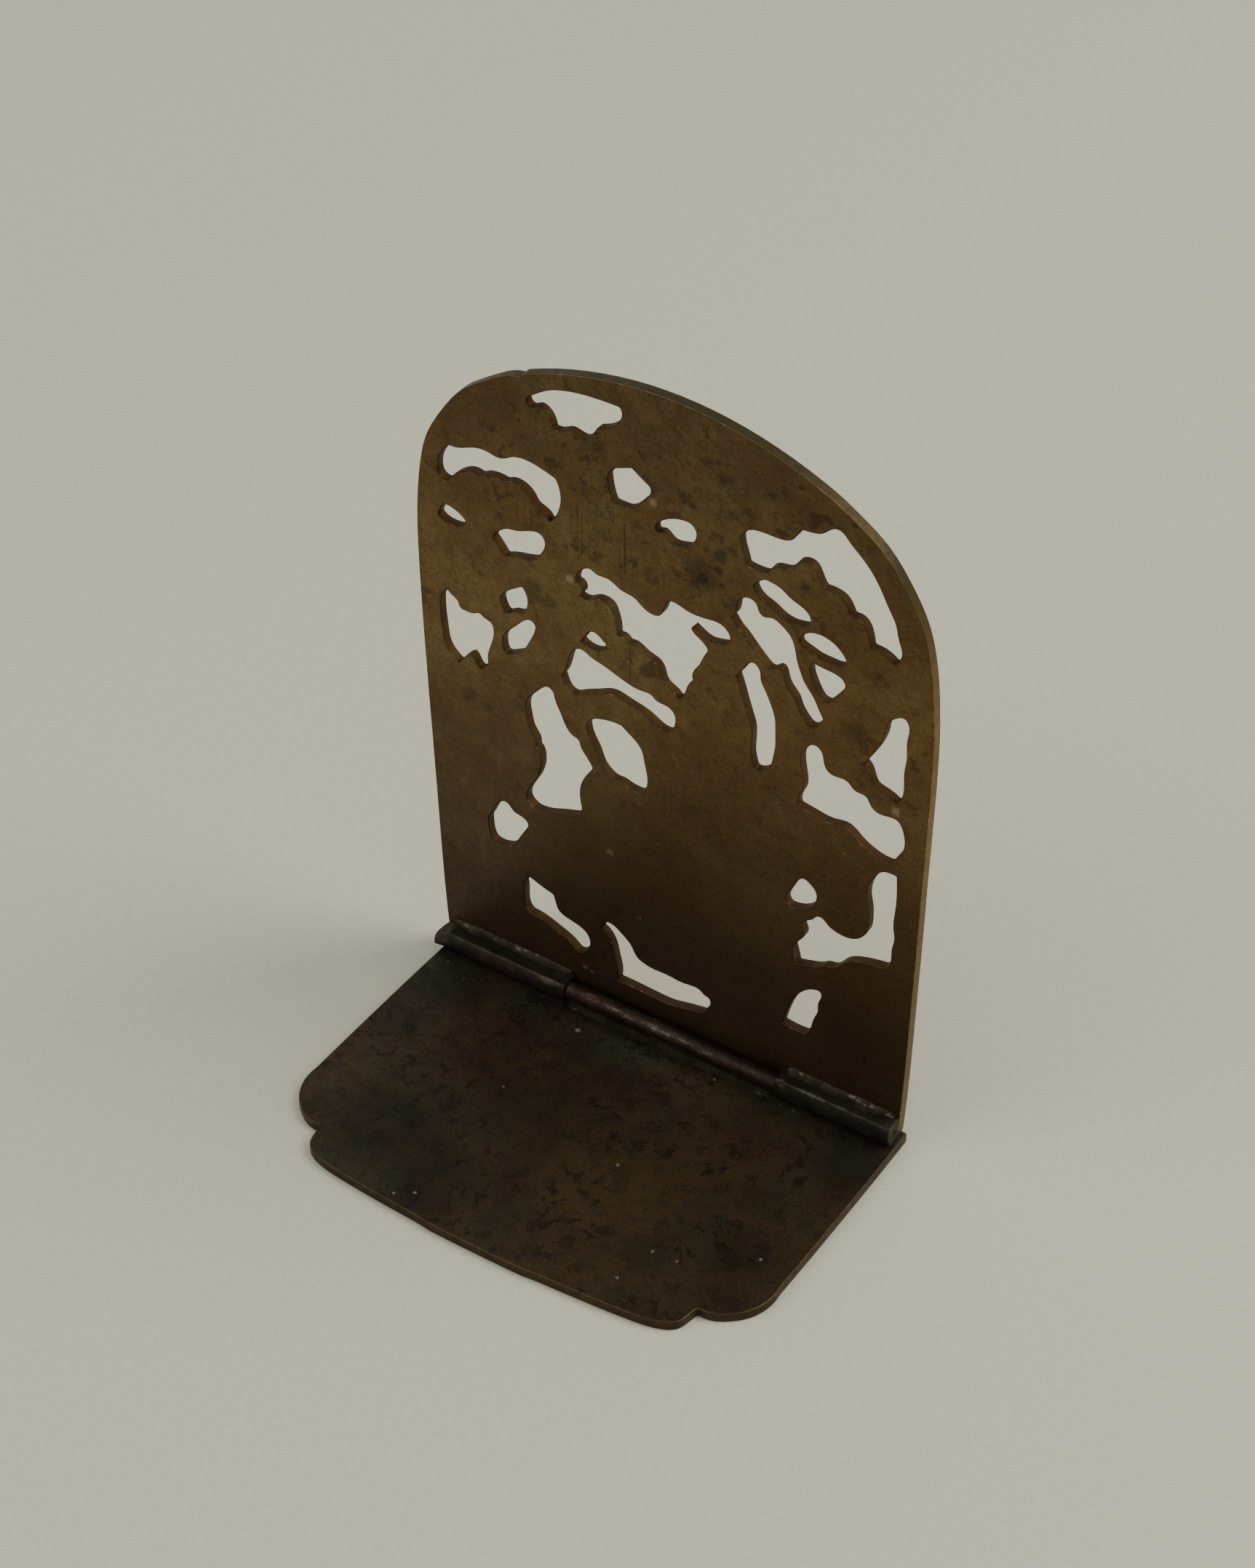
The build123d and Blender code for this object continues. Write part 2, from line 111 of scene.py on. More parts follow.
def resampled(loop, step, passes=2):
    """The loop with evenly spaced points, its corners eased a little."""
    closed = np.vstack([loop, loop[:1]])
    along = np.r_[0, np.cumsum(np.hypot(*np.diff(closed, axis=0).T))]
    count = max(12, int(round(along[-1] / step)))
    at = np.arange(count) * along[-1] / count
    points = np.stack([np.interp(at, along, closed[:, k]) for k in (0, 1)], axis=1)
    for _ in range(passes):
        points = (np.roll(points, 1, 0) + 2 * points + np.roll(points, -1, 0)) / 4
    return points


def side_normals(loop, turn):
    """Unit normals of a loop that point into the metal. turn is 1 where the metal is on the left."""
    tangent = np.roll(loop, -1, 0) - np.roll(loop, 1, 0)
    normal = np.stack([-tangent[:, 1], tangent[:, 0]], axis=1) * turn
    return normal / np.maximum(np.linalg.norm(normal, axis=1, keepdims=True), 1e-9)


def edge_radii(loops, normals, radius):
    """The edge radius at each point, less where the metal is thin."""
    points, directions = np.vstack(loops), np.vstack(normals)
    result = np.full(len(points), radius)
    for first in range(0, len(points), CHUNK):
        rows = slice(first, first + CHUNK)
        gap = points[None] - points[rows, None]
        facing = (directions[rows] @ directions.T) < -0.2
        ahead = np.einsum("ijk,ik->ij", gap, directions[rows]) > 0
        far = np.where(facing & ahead, np.linalg.norm(gap, axis=2), 1e9)
        result[rows] = np.minimum(radius, THIN_METAL * far.min(axis=1))
    split = np.split(result, np.cumsum([len(l) for l in loops])[:-1])
    eased = []
    for part in split:
        least = np.min([np.roll(part, k) for k in range(-4, 5)], axis=0)
        eased.append(np.mean([np.roll(least, k) for k in range(-2, 3)], axis=0))
    return eased


def inside(points, loops):
    """Whether each point lies in the metal, by crossings of the loops."""
    start = np.vstack(loops)
    end = np.vstack([np.roll(l, -1, 0) for l in loops])
    answer = np.zeros(len(points), bool)
    for first in range(0, len(points), CHUNK):
        p = points[first:first + CHUNK, None]
        spans = (start[None, :, 1] > p[..., 1]) != (end[None, :, 1] > p[..., 1])
        rise = np.where(end[:, 1] == start[:, 1], 1e-12, end[:, 1] - start[:, 1])
        cross = start[:, 0] + (p[..., 1] - start[:, 1]) * (end[:, 0] - start[:, 0]) / rise
        answer[first:first + CHUNK] = (spans & (p[..., 0] < cross)).sum(axis=1) % 2 == 1
    return answer


def nearest(points, targets):
    """Distance from each point to the closest target."""
    result = np.empty(len(points))
    for first in range(0, len(points), CHUNK):
        gap = points[first:first + CHUNK, None] - targets[None]
        result[first:first + CHUNK] = np.sqrt((gap ** 2).sum(axis=2)).min(axis=1)
    return result


def face_grid(low, high, spacing):
    """Points in staggered rows from low to high."""
    grid = [np.zeros((0, 2))]
    for k, height in enumerate(np.arange(low[1], high[1], spacing * ROW_HEIGHT)):
        row = np.arange(low[0] + (k % 2) * spacing / 2, high[0], spacing)
        grid.append(np.stack([row, np.full(len(row), height)], axis=1))
    return np.vstack(grid)


def cap_triangles(rings, spacing, rng):
    """Triangles over the metal inside the rings: (inner points, triangles over rings then inner points)."""
    border = np.vstack(rings)
    inner = face_grid(border.min(axis=0), border.max(axis=0), spacing)
    inner = inner + rng.uniform(-JITTER, JITTER, inner.shape) * spacing
    if len(inner):
        inner = inner[inside(inner, rings)]
    if len(inner):
        inner = inner[nearest(inner, border) > CLEAR_OF_EDGE * spacing]
    points = np.vstack([border, inner])
    edges, first = [], 0
    for ring in rings:
        n = len(ring)
        edges += [(first + k, first + (k + 1) % n) for k in range(n)]
        first += n
    made = delaunay_2d_cdt([Vector(p) for p in points], edges, [], 0, 1e-7)
    source = [ids[0] if ids else -1 for ids in made[3]]
    triangles = np.array([[source[i] for i in face] for face in made[2] if len(face) == 3])
    triangles = triangles[(triangles >= 0).all(axis=1)]
    middle = points[triangles].mean(axis=1)
    return inner, triangles[inside(middle, rings)]


def point_normals(verts, faces, flat):
    """Area-weighted normals, where the points of a flat face take that face's direction alone."""
    total = np.zeros((len(verts), 3))
    for size in (3, 4):
        ring = np.array([f for f in faces if len(f) == size])
        if not len(ring):
            continue
        normal = np.cross(verts[ring[:, 2]] - verts[ring[:, 0]], verts[ring[:, -1]] - verts[ring[:, 1]])
        if size == 3:
            normal = np.cross(verts[ring[:, 1]] - verts[ring[:, 0]], verts[ring[:, 2]] - verts[ring[:, 0]])
        on_cap = (flat[ring] > 0).all(axis=1)
        for k in range(size):
            use = on_cap | (flat[ring[:, k]] == 0)
            np.add.at(total, ring[use, k], normal[use])
    return total / np.maximum(np.linalg.norm(total, axis=1, keepdims=True), 1e-12)


def mesh_piece(name, solid, body, material, replaces):
    """A smooth mesh object from a solid in millimetres, riding on a body in place of a CAD node."""
    verts, faces, marks = solid
    mesh = bpy.data.meshes.new(name)
    mesh.from_pydata([tuple(v) for v in verts * MM], [], [tuple(int(i) for i in f) for f in faces])
    for key, value in marks.items():
        if key != "flat":
            mark = mesh.attributes.new(key, "FLOAT", "POINT")
            mark.data.foreach_set("value", value.astype(np.float32))
    mesh.polygons.foreach_set("use_smooth", [True] * len(mesh.polygons))
    mesh.normals_split_custom_set_from_vertices(point_normals(verts, faces, marks["flat"]).tolist())
    piece = bpy.data.objects.new(name, mesh)
    bpy.context.scene.collection.objects.link(piece)
    mesh.materials.append(material)
    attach(piece, body)
    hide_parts(replaces)
    return piece


def outward(verts, faces):
    """The faces, turned so that the solid's volume is positive."""
    volume = 0.0
    for face in faces:
        a = verts[face[0]]
        for k in range(1, len(face) - 1):
            volume += np.dot(a, np.cross(verts[face[k]], verts[face[k + 1]]))
    return faces if volume > 0 else [face[::-1] for face in faces]


def rounded_prism(node, axis, radius, step, rows, spacing, shape=None, draft=None, passes=2, seed=1):
    """Vertices and faces of a CAD node that is a prism along axis, with its face edges rounded.

    rows is the spacing of the rings down the walls, spacing that of the points on the flat faces.
    draft(normals) says how far a wall leans out of the metal at the first face. shape moves the points.
    """
    low, high = (c[axis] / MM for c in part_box(node))
    loops = [resampled(l, step, passes) for l in face_loops(node, axis, low)]
    area = [0.5 * np.sum(l[:, 0] * np.roll(l[:, 1], -1) - np.roll(l[:, 0], -1) * l[:, 1]) for l in loops]
    outer = int(np.argmax(np.abs(area)))
    turn = 1 if area[outer] > 0 else -1
    normals = [side_normals(l, turn) for l in loops]
    radii = edge_radii(loops, normals, radius)
    lean = [draft(n) if draft and k != outer else np.zeros(len(n)) for k, n in enumerate(normals)]
    thickness = high - low

    turns = np.linspace(0, math.pi / 2, 4)
    profile = [("first", t) for t in turns]
    middle = np.arange(radius + rows, thickness - radius - rows / 2, rows)
    profile += [("wall", d) for d in middle]
    profile += [("last", t) for t in turns[::-1]]

    def ring(loop, normal, r, leaning, kind, value):
        if kind == "wall":
            inset, depth = np.zeros(len(loop)), np.full(len(loop), value)
        else:
            inset = r * (1 - math.sin(value))
            depth = r * (1 - math.cos(value))
            if kind == "last":
                depth = thickness - depth
        flat = loop + normal * (inset - leaning * (1 - depth / thickness))[:, None]
        return flat, low + depth

    flats, depths, wear, wall, rim, faces, offset = [], [], [], [], [], [], 0
    first_ring, last_ring = [], []
    for number, (loop, normal, r, leaning) in enumerate(zip(loops, normals, radii, lean)):
        n = len(loop)
        for kind, value in profile:
            flat, depth = ring(loop, normal, r, leaning, kind, value)
            flats.append(flat)
            depths.append(depth)
            on_edge = kind != "wall" and value > 0
            wear.append(np.full(n, math.sin(2 * value) ** 0.5 if on_edge else 0.0))
            wall.append(np.full(n, 1.0 if kind == "wall" else math.sin(value)))
            rim.append(wall[-1] * (number == outer))
        k = np.arange(n)
        for row in range(len(profile) - 1):
            a, b = offset + row * n, offset + (row + 1) * n
            quads = np.stack([a + k, b + k, b + (k + 1) % n, a + (k + 1) % n], axis=1)
            faces += quads.tolist() if turn * (1 if axis != 1 else -1) > 0 else quads[:, ::-1].tolist()
        first_ring.append(np.arange(offset, offset + n))
        last_ring.append(np.arange(offset + (len(profile) - 1) * n, offset + len(profile) * n))
        offset += len(profile) * n
    flats, depths = np.vstack(flats), np.concatenate(depths)

    rng = np.random.default_rng(seed)
    inner, triangles = cap_triangles([flats[r] for r in first_ring], spacing, rng)
    for rings, depth, flip in ((first_ring, low, False), (last_ring, high, True)):
        index = np.r_[np.concatenate(rings), np.arange(len(inner)) + len(flats)]
        flats = np.vstack([flats, inner]) if len(inner) else flats
        depths = np.r_[depths, np.full(len(inner), depth)]
        cap = index[triangles]
        faces += (cap[:, ::-1] if flip else cap).tolist()

    verts = np.zeros((len(flats), 3))
    verts[:, across(axis)], verts[:, axis] = flats, depths
    if shape:
        verts = shape(verts)
    marks = {"wear": np.concatenate(wear), "wall": np.concatenate(wall), "rim": np.concatenate(rim)}
    marks = {key: np.r_[value, np.zeros(len(verts) - len(value))] for key, value in marks.items()}
    on_walls = offset
    marks["flat"] = np.zeros(len(verts))
    marks["flat"][np.concatenate(first_ring + last_ring)] = 1
    marks["flat"][on_walls:] = 1
    return verts, outward(verts, faces), marks


def hump(points, seed, size):
    """A smooth wavy field of seven sine waves, about -1 to 1; size is a typical wavelength in mm."""
    rng = np.random.default_rng(seed)
    total = np.zeros(len(points))
    for _ in range(7):
        direction = rng.normal(size=points.shape[1])
        direction /= np.linalg.norm(direction)
        length = size * rng.uniform(0.6, 1.7)
        total += np.sin(points @ direction * 2 * math.pi / length + rng.uniform(0, 2 * math.pi))
    return total / 3.5


# ---------------------------------------------------------------- materials

def srgb(red, green, blue):
    """A linear colour from 0-255 display values."""
    values = [c / 255 for c in (red, green, blue)]
    return tuple(c / 12.92 if c <= 0.04045 else ((c + 0.055) / 1.055) ** 2.4 for c in values) + (1.0,)


class Shade:
    """Short ways to add nodes to one material. Positions and sizes are in millimetres."""

    def __init__(self, name):
        self.material = bpy.data.materials.new(name)
        self.material.use_nodes = True
        self.tree = self.material.node_tree
        self.tree.nodes.clear()
        place = self.add("ShaderNodeTexCoord").outputs["Object"]
        self.mm = self.vector("SCALE", place, scale=1 / MM)

    def add(self, kind, inputs=None, **settings):
        made = self.tree.nodes.new(kind)
        for key, value in settings.items():
            setattr(made, key, value)
        for key, value in (inputs or {}).items():
            if isinstance(value, bpy.types.NodeSocket):
                self.tree.links.new(value, made.inputs[key])
            else:
                made.inputs[key].default_value = value
        return made

    def vector(self, operation, a, b=None, scale=None):
        inputs = {0: a}
        if b is not None:
            inputs[1] = b
        if scale is not None:
            inputs["Scale"] = scale
        made = self.add("ShaderNodeVectorMath", inputs, operation=operation)
        return made.outputs["Value" if operation == "DISTANCE" else "Vector"]

    def math(self, operation, a, b=0.0):
        return self.add("ShaderNodeMath", {0: a, 1: b}, operation=operation).outputs[0]

    def ramp(self, value, low, high, start=0.0, end=1.0):
        """value taken from low..high to start..end, with soft ends."""
        inputs = {0: value, 1: low, 2: high, 3: start, 4: end}
        return self.add("ShaderNodeMapRange", inputs, interpolation_type="SMOOTHSTEP").outputs[0]

    def mix(self, factor, a, b, blend="MIX"):
        inputs = {0: factor, 6: a, 7: b}
        made = self.add("ShaderNodeMix", inputs, data_type="RGBA", blend_type=blend)
        return made.outputs[2]

    def noise(self, size, detail=4.0, roughness=0.55, distortion=0.0, stretch=(1, 1, 1), shift=0.0):
        """Noise whose features are about size mm; stretch makes them longer along an axis."""
        scaled = self.vector("MULTIPLY", self.mm, tuple(1 / (size * s) for s in stretch))
        moved = self.vector("ADD", scaled, (shift, shift * 1.7, shift * 0.6))
        inputs = {"Vector": moved, "Scale": 1.0, "Detail": detail, "Roughness": roughness,
                  "Distortion": distortion}
        return self.add("ShaderNodeTexNoise", inputs).outputs["Fac"]

    def along(self, axis):
        """The position on one axis, in mm."""
        return self.add("ShaderNodeSeparateXYZ", {0: self.mm}).outputs[axis]

    def mark(self, name):
        """A value that the mesh carries at its points."""
        return self.add("ShaderNodeAttribute", attribute_name=name).outputs["Fac"]

    def spots(self, centres, wobble, size=1.8, length=1.0):
        """The greatest of some ragged spots: ((x, y, z), radius, strength) each.

        wobble mm is how far their edges stray, size mm how finely; length stretches them along X.
        """
        push = self.add("ShaderNodeTexNoise", {"Vector": self.mm, "Scale": 1 / size, "Detail": 4.0})
        bent = self.vector("SUBTRACT", push.outputs["Color"], (0.5, 0.5, 0.5))
        bent = self.vector("ADD", self.mm, self.vector("SCALE", bent, scale=wobble))
        bent = self.vector("MULTIPLY", bent, (1 / length, 1, 1))
        total = None
        for centre, radius, strength in centres:
            gap = self.vector("DISTANCE", bent, (centre[0] / length, centre[1], centre[2]))
            spot = self.ramp(gap, radius * 0.35, radius * 1.25, strength, 0.0)
            total = spot if total is None else self.math("MAXIMUM", total, spot)
        return total

    def scratches(self, lines):
        """The greatest of some thin upright lines, each (x, low, high, half width, strength) in mm."""
        wander = self.noise(2.4, detail=3, stretch=(1, 1, 3), shift=21.0)
        sideways, upwards = 0.7, 3.0    # mm of wander, whose middle is half of each
        place = self.math("ADD", self.along(X), self.math("MULTIPLY", wander, sideways))
        height = self.math("ADD", self.along(Z), self.math("MULTIPLY", wander, upwards))
        total = None
        for x, low, high, half, strength in lines:
            gap = self.math("ABSOLUTE", self.math("SUBTRACT", place, x + sideways / 2))
            near = self.ramp(gap, half * 0.4, half * 1.6, strength, 0.0)
            middle, reach = (low + high) / 2 + BASE_TOP + upwards / 2, (high - low) / 2
            beyond = self.math("ABSOLUTE", self.math("SUBTRACT", height, middle))
            line = self.math("MULTIPLY", near, self.ramp(beyond, reach * 0.6, reach, 1.0, 0.0))
            total = line if total is None else self.math("MAXIMUM", total, line)
        return total

    def depth_of_tone(self, colour, axis, steps, factor=1.0):
        """colour multiplied by a tone that changes along an axis; steps are (mm, colour) in rising order."""
        tone = steps[0][1] + (1,)
        for (low, _), (high, following) in zip(steps, steps[1:]):
            tone = self.mix(self.ramp(self.along(axis), low, high), tone, following + (1,))
        return self.mix(factor, colour, tone, "MULTIPLY")

    def finish(self, colour, roughness, metallic, height, depth):
        """The surface itself; height is a 0-1 field and depth its size in mm."""
        bump = self.add("ShaderNodeBump", {"Height": height, "Distance": depth * MM, "Strength": 1.0})
        inputs = {"Base Color": colour, "Roughness": roughness, "Metallic": metallic,
                  "Normal": bump.outputs[0]}
        shader = self.add("ShaderNodeBsdfPrincipled", inputs)
        output = self.add("ShaderNodeOutputMaterial")
        self.tree.links.new(shader.outputs[0], output.inputs["Surface"])
        return self.material


def on_panel(x, height):
    """A point on the upright's front face, height above the base."""
    return (x, FRONT, height + BASE_TOP)


def on_base(x, back):
    """A point on the base's top face; back is measured from the upright's front face."""
    return (x, FRONT + back, BASE_TOP)


PANEL_STAINS = [
    (on_panel(6.7, 105.9), 1.5, 1.0), (on_panel(6.7, 106.1), 3.4, 0.55), (on_panel(10.2, 111.6), 1.7, 0.75),
    (on_panel(9.8, 108.3), 1.1, 0.65), (on_panel(10.1, 105.8), 1.0, 0.6), (on_panel(3.0, 120.6), 1.3, 0.7),
    (on_panel(4.8, 119.7), 0.9, 0.6), (on_panel(-6.6, 103.6), 0.9, 0.5), (on_panel(12.5, 120.6), 1.2, 0.5),
    (on_panel(10.9, 127.3), 1.5, 0.55), (on_panel(-27, 89), 2.6, 0.5), (on_panel(-23.5, 88), 1.7, 0.45),
    (on_panel(-41, 60), 2.2, 0.55), (on_panel(-37.5, 59), 1.4, 0.4), (on_panel(15, 122.5), 1.0, 0.45),
    (on_panel(-36, 106), 0.9, 0.45), (on_panel(36, 87), 2.6, 0.45), (on_panel(40, 100), 1.2, 0.45),
    (on_panel(31, 118), 1.2, 0.45), (on_panel(-2, 101), 0.6, 0.3), (on_panel(-21, 63), 1.2, 0.35),
    (on_panel(13, 103), 1.4, 0.5), (on_panel(20, 128), 1.0, 0.4), (on_panel(-38, 92), 1.3, 0.4),
    (on_panel(12.2, 113.6), 1.2, 0.5), (on_panel(8.3, 114.4), 0.8, 0.5), (on_panel(26, 112.5), 1.0, 0.4),
    (on_panel(17, 97.5), 1.3, 0.4), (on_panel(-34, 98), 1.0, 0.35), (on_panel(43, 108), 1.2, 0.4),
]
# x, lowest and highest height, half width and strength of each scratch on the upright
PANEL_SCRATCHES = [
    (-29.6, 99.5, 108.6, 0.12, 0.5), (-28.2, 101, 109.4, 0.10, 0.45), (-26.9, 99, 107.2, 0.14, 0.6),
    (-25.6, 102.4, 105.8, 0.10, 0.5), (-24.6, 101.8, 104.2, 0.12, 0.5), (-19.0, 100, 111, 0.10, 0.5),
    (-17.6, 98.8, 112.4, 0.14, 0.6), (-16.8, 103, 110, 0.10, 0.5), (-15.4, 98.6, 106, 0.10, 0.4),
    (-9.4, 98.2, 107.2, 0.10, 0.5), (-8.2, 99.4, 108, 0.12, 0.5), (-6.9, 97.0, 104.6, 0.10, 0.4),
    (-3.2, 97.4, 103.8, 0.10, 0.35), (-43.6, 86, 92, 0.12, 0.5), (-13.8, 78.8, 83.0, 0.12, 0.5),
    (-12.2, 80.2, 88.8, 0.10, 0.45), (-7.5, 77.4, 86.0, 0.14, 0.6), (-0.8, 99.0, 104.5, 0.12, 0.5),
    (-8.4, 98.8, 111.7, 0.16, 0.75), (-4.6, 80.6, 85.0, 0.10, 0.4), (-24.0, 86.5, 91.0, 0.10, 0.4),
]
# The tone of the upright by height, and painted light on its outer rim: the rim lighter low down, darker
# near the top.
PANEL_TONES = [
    (18, (0.72, 0.74, 1.04)), (48, (0.96, 0.99, 1.07)), (74, (1.22, 1.24, 1.24)),
    (92, (1.20, 1.19, 1.13)), (112, (1.0, 1.0, 0.94)), (130, (0.82, 0.80, 0.78)),
]
RIM_PAINTED_LIGHT = [(100, (1.36, 1.28, 0.95)), (126, (0.66, 0.76, 0.72))]
PANEL_FLECKS = [
    (on_panel(-12, 37.5), 0.9, 0.5), (on_panel(44.3, 73.5), 1.0, 0.75), (on_panel(-6, 25), 0.5, 0.5),
    (on_panel(-19.4, 94.6), 1.0, 0.7), (on_panel(-2.9, 117.0), 0.9, 0.5), (on_panel(35, 60), 0.4, 0.4),
    ((48.9, FRONT + 1.2, 55.5), 0.8, 0.9), ((49.1, FRONT + 1.1, 50.5), 0.6, 0.8),
    (on_panel(-17.6, 7.4), 0.6, 0.7), (on_panel(-16.2, 7.0), 0.4, 0.6),
]


def panel_material():
    s = Shade("upright_patina")
    cloud = s.noise(26, detail=5, roughness=0.6)
    grain = s.noise(3.2, detail=6, roughness=0.65, shift=3.1)
    fine = s.noise(0.55, detail=3, roughness=0.7, shift=5.5)
    pits = s.noise(1.1, detail=3, roughness=0.6, shift=7.7)
    blots = s.noise(3.4, detail=6, roughness=0.66, distortion=0.5, shift=11.3)
    flecks = s.noise(1.5, detail=4, roughness=0.65, distortion=0.3, shift=29.3)
    crowd = s.noise(17, detail=3, shift=13.9)
    brown, olive = srgb(93, 70, 42), srgb(103, 86, 53)
    umber, straw = srgb(80, 59, 37), srgb(110, 90, 58)
    blot, fleck, pit = srgb(66, 46, 31), srgb(58, 43, 30), srgb(44, 33, 25)
    speck_dark, speck_light = srgb(62, 46, 31), srgb(124, 106, 72)
    stain, scratch = srgb(36, 30, 25), srgb(54, 34, 25)
    rim_brass, shaded_cut_brass = srgb(92, 76, 48), srgb(68, 50, 27)
    chipped, worn_brass, scuff_and_glint = srgb(150, 132, 98), srgb(150, 128, 86), srgb(150, 134, 112)

    colour = s.mix(s.ramp(cloud, 0.38, 0.66), brown, olive)
    colour = s.mix(s.ramp(grain, 0.38, 0.7, 0.0, 0.6), colour, umber)
    colour = s.mix(s.ramp(grain, 0.44, 0.30, 0.0, 0.4), colour, straw)
    aged = s.ramp(s.along(Z), 58, 96, 0.35, 1.0)
    dark_blots = s.math("MULTIPLY", s.ramp(blots, 0.545, 0.60), s.ramp(crowd, 0.38, 0.6, 0.2, 0.85))
    colour = s.mix(s.math("MULTIPLY", dark_blots, aged), colour, blot)
    small = s.math("MULTIPLY", s.ramp(flecks, 0.61, 0.67), s.math("MULTIPLY", aged, 0.5))
    colour = s.mix(small, colour, fleck)
    colour = s.mix(s.math("MULTIPLY", s.ramp(pits, 0.66, 0.73), 0.75), colour, pit)
    colour = s.mix(s.ramp(fine, 0.48, 0.72, 0.0, 0.45), colour, speck_dark)
    colour = s.mix(s.ramp(fine, 0.46, 0.28, 0.0, 0.35), colour, speck_light)
    stains = s.spots(PANEL_STAINS, 2.2)
    colour = s.mix(s.math("MULTIPLY", stains, 0.85), colour, stain)
    on_front = s.ramp(s.along(Y), FRONT + 0.2, FRONT + 0.6, 1.0, 0.0)
    scratches = s.math("MULTIPLY", s.scratches(PANEL_SCRATCHES), on_front)
    colour = s.mix(scratches, colour, scratch)
    colour = s.depth_of_tone(colour, Z, PANEL_TONES)
    colour = s.mix(s.math("MULTIPLY", s.mark("rim"), 0.5), colour, rim_brass)
    # The walls of the openings: sawn brass colour darkened with painted shade.
    cut = s.math("SUBTRACT", s.mark("wall"), s.mark("rim"))
    colour = s.mix(s.math("MULTIPLY", cut, 0.6), colour, shaded_cut_brass)
    chips = s.noise(1.3, detail=4, roughness=0.7, shift=17.0)
    edge = s.math("MULTIPLY", s.mark("wear"), s.ramp(chips, 0.56, 0.66, 0.0, 0.7))
    colour = s.mix(edge, colour, chipped)
    worn_rim = s.math("MULTIPLY", s.mark("rim"), s.mark("wear"))
    colour = s.mix(s.math("MULTIPLY", worn_rim, 0.3), colour, worn_brass)
    # Painted light on the outer rim: lighter low down, darker near the top.
    colour = s.depth_of_tone(colour, Z, RIM_PAINTED_LIGHT, s.mark("rim"))
    colour = s.mix(s.spots(PANEL_FLECKS, 1.3, size=0.5), colour, scuff_and_glint)
    height = s.math("SUBTRACT", s.math("MULTIPLY", grain, 0.5), s.ramp(pits, 0.62, 0.76))
    height = s.math("SUBTRACT", height, s.math("MULTIPLY", stains, 0.6))
    height = s.math("ADD", height, s.math("MULTIPLY", fine, 0.5))
    roughness = s.math("ADD", s.ramp(grain, 0.3, 0.75, 0.38, 0.5), s.math("MULTIPLY", cut, 0.2))
    metallic = s.math("ADD", s.math("MULTIPLY", cut, 0.18), 0.82)
    return s.finish(colour, roughness, metallic, height, 0.012)


# The tone of the base from its middle back to the hinge.
BASE_TONES = [(2, (1.14, 1.12, 0.84)), (FRONT - 16, (1.32, 1.26, 1.06)), (FRONT - 7, (1.5, 1.62, 1.5))]
BASE_STAINS = [
    (on_base(10.7, -25.5), 1.6, 0.8), (on_base(16, -25), 1.3, 0.7), (on_base(-30, -46), 11, 0.55),
    (on_base(-42, -12), 9, 0.6), (on_base(-14, -53), 9, 0.55), (on_base(12, -33), 2.4, 0.4),
    (on_base(45, -9), 9, 0.8), (on_base(2, -24), 3, 0.35), (on_base(-43, -21), 8, 0.55),
    (on_base(40, -37), 7, 0.5), (on_base(-12, -12), 5, 0.35), (on_base(6, -29), 2, 0.4),
    (on_base(-34, -47), 9, 0.45), (on_base(26, -47), 5, 0.4), (on_base(36, -26), 5, 0.35),
]
BASE_WARMTH = [
    (on_base(12, -39), 15, 0.9), (on_base(16, -54), 14, 0.5), (on_base(20, -20), 12, 0.45),
    (on_base(15, -9), 8, 0.7), (on_base(4, -24), 8, 0.4),
]
BASE_FLECKS = [
    (on_base(10.5, -32), 0.35, 0.8), (on_base(-17, -27), 0.35, 0.6), (on_base(43, -37.3), 0.4, 0.7),
    (on_base(-14, -8.0), 0.55, 0.9), (on_base(13.2, -5.2), 0.35, 0.8), (on_base(26.7, -45.7), 0.35, 0.7),
    (on_base(31.4, -45.4), 0.3, 0.6), (on_base(25, -54), 0.35, 0.7), (on_base(-15, -56.5), 0.35, 0.6),
    (on_base(-18, -58.6), 0.3, 0.6), (on_base(29, -4.3), 0.4, 0.3), (on_base(-38.8, -8.1), 0.2, 0.45),
    (on_base(-35.7, -6.7), 0.18, 0.45), (on_base(-43.8, -6.0), 0.3, 0.3), (on_base(11.6, -4.3), 0.2, 0.3),
    (on_base(26.2, -4.2), 0.3, 0.25), (on_base(-1.1, -3.6), 0.2, 0.4),
]


